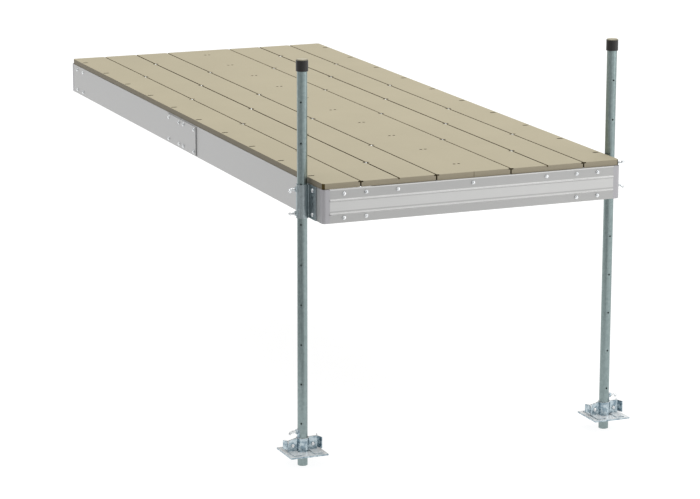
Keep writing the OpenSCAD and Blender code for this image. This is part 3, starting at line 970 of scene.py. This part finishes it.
def bead(path, radius_mm, closed=False):
    """A rippled tube along a path, whose open ends taper."""
    radii = []
    for i in range(len(path)):
        end = not closed and i in (0, len(path) - 1)
        share = END_TAPER if end else (VALLEY if i % 2 else 1.0) + dice.uniform(-JITTER, JITTER)
        radii.append(radius_mm * MM * share)
    return tube(path, radii, BEAD_SIDES, NO_PATHS_WAY, closed)


def line_path(start, end):
    """Points along a line, half a ripple apart."""
    start, end = Vector(start), Vector(end)
    count = max(2, round((end - start).length / (RIPPLE_MM / 2 * MM)))
    return [start.lerp(end, i / count) for i in range(count + 1)]


def ring_path(centre, normal, radius_mm):
    """Points round a circle, half a ripple apart, without the first again."""
    aim = Vector(normal).to_track_quat("Z", "X").to_matrix()
    count = 2 * round(2 * math.pi * radius_mm / RIPPLE_MM)
    turns = [2 * math.pi * i / count for i in range(count)]
    return [Vector(centre) + aim @ Vector((math.cos(t), math.sin(t), 0)) * radius_mm * MM for t in turns]


print("beads ripple every", RIPPLE_MM, "mm")

# %% [markdown]
# On a holder, two straight seams run down in the corners between the sleeve and its plate, and stop short
# of the ends, where a welder starts and lets go. A ring goes round each of the two nuts. The beads have
# the holder's own finish, because it was dipped in zinc after welding.

# %% Weld the holders
SLEEVE_R_MM = 23
SEAM_OUT_MM = 2.2
SEAM_SIDE_MM = 12.5
SEAM_SHORT_MM = 4
SEAM_BEAD_MM = 3.4
NUT_SEAT_MM = 8.2
NUT_BEAD_MM = 2.4
NUT_SUNK_MM = 1.2
SCREW_Z_MM = 45
for side, way in outward.items():
    low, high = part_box(f"leg_holder_{side}")
    axis = leg_axes[side]
    plate_x = way * (side_x + (HOLDER_MM + SEAM_OUT_MM) * MM)
    beads = []
    for along in (-SEAM_SIDE_MM * MM, SEAM_SIDE_MM * MM):
        path = line_path((plate_x, axis.y + along, low.z + SEAM_SHORT_MM * MM),
                         (plate_x, axis.y + along, high.z - SEAM_SHORT_MM * MM))
        beads.append((bead(path, SEAM_BEAD_MM), Matrix()))
    for z in (-SCREW_Z_MM * MM, SCREW_Z_MM * MM):
        centre = (axis.x + way * (SLEEVE_R_MM - NUT_SUNK_MM) * MM, axis.y, z)
        ring = ring_path(centre, (way, 0, 0), NUT_SEAT_MM)
        beads.append((bead(ring, NUT_BEAD_MM, closed=True), Matrix()))
    add_copies(f"holder_welds_{side}", beads, galvanised_holder, "dock")

# %% [markdown]
# A foot's socket has one nut, on a tab above the clamp, with a ring of weld round it. The nut's screw has
# its handle hanging down, so the top of the screw's box is the top of its shank, which gives the height.

# %% Weld the feet
SOCKET_R_MM = 21.2
SHANK_R_MM = 4.75
FOOT_NUT_SUNK_MM = 0.4
FOOT_BEAD_MM = 1.8
for side, way in outward.items():
    axis = leg_axes[side]
    screw_top_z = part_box(f"foot_screw_{side}")[1].z
    nut_centre = (axis.x + way * (SOCKET_R_MM - FOOT_NUT_SUNK_MM) * MM, axis.y,
                  screw_top_z - SHANK_R_MM * MM)
    ring = ring_path(nut_centre, (way, 0, 0), NUT_SEAT_MM)
    beads = [(bead(ring, FOOT_BEAD_MM, closed=True), Matrix())]
    add_copies(f"foot_welds_{side}", beads, pressed_zinc, f"leg_{side}_body")

# %% [markdown]
# ## Threads
#
# The clamping screws are threaded where they pass through their nuts. A screw modifier could spin such a
# thread, and a bump could fake it, but its teeth show against the light. It is one helix, so it is swept
# as a thin tube with four sides, half sunk into the plain shank, from the nut outwards.

# %% Threads on the clamping screws
THREAD_TURNS = 8
STEPS_PER_TURN = 20
THREAD_R_MM = 0.55
NUT_OUT_MM = 6
SCREWS_WAY = Vector((1, 0, 0))


def thread(start, way):
    """The points of a helix round X that runs outwards from a point on a screw's axis."""
    path = []
    for i in range(THREAD_TURNS * STEPS_PER_TURN + 1):
        turn = 2 * math.pi * i / STEPS_PER_TURN
        along = THREAD_PITCH_MM * i / STEPS_PER_TURN
        path.append(Vector(start) + Vector((way * along, SHANK_R_MM * math.cos(turn),
                                            SHANK_R_MM * math.sin(turn))) * MM)
    return path


for side, way in outward.items():
    axis = leg_axes[side]
    nut_out_x = axis.x + way * (SLEEVE_R_MM + NUT_OUT_MM) * MM
    helices = []
    for z in (-SCREW_Z_MM * MM, SCREW_Z_MM * MM):
        path = thread((nut_out_x, axis.y, z), way)
        radii = [THREAD_R_MM * MM] * len(path)
        helices.append((tube(path, radii, sides=4, aside=SCREWS_WAY), Matrix()))
    add_copies(f"holder_threads_{side}", helices, bright_zinc, "dock")

# %% [markdown]
# ## Floor, light and camera
#
# The section stands on a plain white floor, lit like a product in a studio. White cloth or paper would
# turn grey away from the lamps, so the floor is a sheet of white acrylic lit from below. It glows almost
# as white as the picture can show, and the little light that it scatters itself carries the soft shade
# under the feet.

# %% Floor
FLOOR_REACH = 40
FLOOR_GLOW = 0.9
floor_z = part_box("leg_left")[0].z


def sheet(name, plan, z, finish):
    """A flat sheet with this plan, at a height."""
    mesh = bpy.data.meshes.new(name)
    mesh.from_pydata([(x, y, z) for x, y in plan], [], [range(len(plan))])
    mesh.materials.append(finish)
    return placed(name, mesh)


lit_acrylic, *_ = new_finish("lit_white_acrylic", {
    "Base Color": linear("#7C7C7C"), "Roughness": 0.9, "Specular IOR Level": 0.0,
    "Emission Color": linear("#FFFFFF"), "Emission Strength": FLOOR_GLOW})
floor_plan = box_plan(-FLOOR_REACH, FLOOR_REACH, -FLOOR_REACH, FLOOR_REACH)
floor = sheet("studio_floor", floor_plan, floor_z, lit_acrylic)
print("the floor lies", round(-floor_z, 3), "m below the middle of the far end")

# %% [markdown]
# Metal looks like what it mirrors. On a white floor under white light it would all look white, so a grey
# cloth lies on the floor between the camera and the section. It is out of the picture, but the legs mirror
# it and show that they are round.

# %% Grey cloth
CLOTH_PLAN = ((-2.1, -3.4), (-1.9, -2.2), (-1.75, -1.2), (-8.0, 2.0), (-8.0, -10.0), (-1.8, -10.0),
              (0.0, -4.1))
CLOTH_MM = 10
grey_cloth, *_ = new_finish("grey_cotton_cloth", {"Base Color": linear("#9F9F9F"), "Roughness": 1.0,
                                                 "Specular IOR Level": 0.0})
cloth = sheet("grey_cloth", CLOTH_PLAN, floor_z + CLOTH_MM * MM, grey_cloth)
cloth.visible_camera = False
print("the cloth has", len(CLOTH_PLAN), "corners and lies", CLOTH_MM, "mm above the floor")

# %% [markdown]
# The room itself gives most of the light. A panorama of a real studio could be used, but then the metal
# would mirror things that can't be changed. This room is two numbers: it is white, and brighter overhead
# than at the level of the eye, so flat metal shows a soft change of tone from top to side. The Standard
# view shows every colour as it was matched, where a film-like view would grey the whites.

# %% Room light
ROOM_SIDE = 0.45
ROOM_TOP = 1.15
room = bpy.data.worlds.new("studio_room")
bpy.context.scene.world = room
room.use_nodes = True
room_tree = room.node_tree
direction = add_node(room_tree, "ShaderNodeTexCoord", {}, {})
height = add_node(room_tree, "ShaderNodeSeparateXYZ", {}, {"Vector": direction.outputs["Generated"]})
glow = to_range(room_tree, height.outputs["Z"], ROOM_SIDE, ROOM_TOP)
wire(room_tree, room_tree.nodes["Background"], {"Color": linear("#FFFFFF"), "Strength": glow})
bpy.context.scene.view_settings.view_transform = "Standard"
print("the room glows from", ROOM_SIDE, "at the sides to", ROOM_TOP, "overhead")

# %% [markdown]
# Two soft boxes give the light a direction. A broad one overhead brightens the deck and draws the shadows
# under its edges, and a weak one at the near right turns the pipes' right sides bright. Neither is seen
# by the camera itself.

# %% Soft boxes
def soft_box(name, place, target, width, height, power):
    """A rectangular lamp that shines from a place to a target."""
    lamp = bpy.data.lights.new(name, "AREA")
    lamp.shape = "RECTANGLE"
    lamp.size = width
    lamp.size_y = height
    lamp.energy = power
    stand = placed(name, lamp)
    stand.location = place
    stand.rotation_euler = (Vector(target) - Vector(place)).to_track_quat("-Z", "Y").to_euler()
    stand.visible_camera = False


soft_box("overhead_box", place=(1.0, -1.0, 5.5), target=(0, -1.5, 0), width=3.0, height=3.0, power=150)
soft_box("right_strip", place=(4.2, -6.0, 1.2), target=(0, -2.9, -0.2), width=2.6, height=3.2, power=45)
print(len(bpy.data.lights), "soft boxes")

# %% [markdown]
# The camera stands low beyond the near left corner, far back behind a long lens, so parallel beams stay
# nearly parallel. Its angles are in radians: yaw to the right of straight along the section, pitch down
# from level, and a touch of roll.

# %% Camera
EYE = Vector((-4.4343, -12.407, 2.2057))
LENS_MM = 146.21
SENSOR_MM = 36
YAW = 0.39777
PITCH = 0.22956
ROLL = 0.00237
CLIP_END_M = 100
lens = bpy.data.cameras.new("camera")
lens.sensor_width = SENSOR_MM
lens.lens = LENS_MM
lens.clip_end = CLIP_END_M
camera = placed("camera", lens)
camera.matrix_world = (Matrix.Translation(EYE) @ Matrix.Rotation(-YAW, 4, "Z")
                       @ Matrix.Rotation(math.pi / 2 - PITCH, 4, "X") @ Matrix.Rotation(ROLL, 4, "Z"))
bpy.context.scene.camera = camera
print("camera", round((EYE - Vector((0, -1.5, 0))).length, 2), "m from the section's middle")
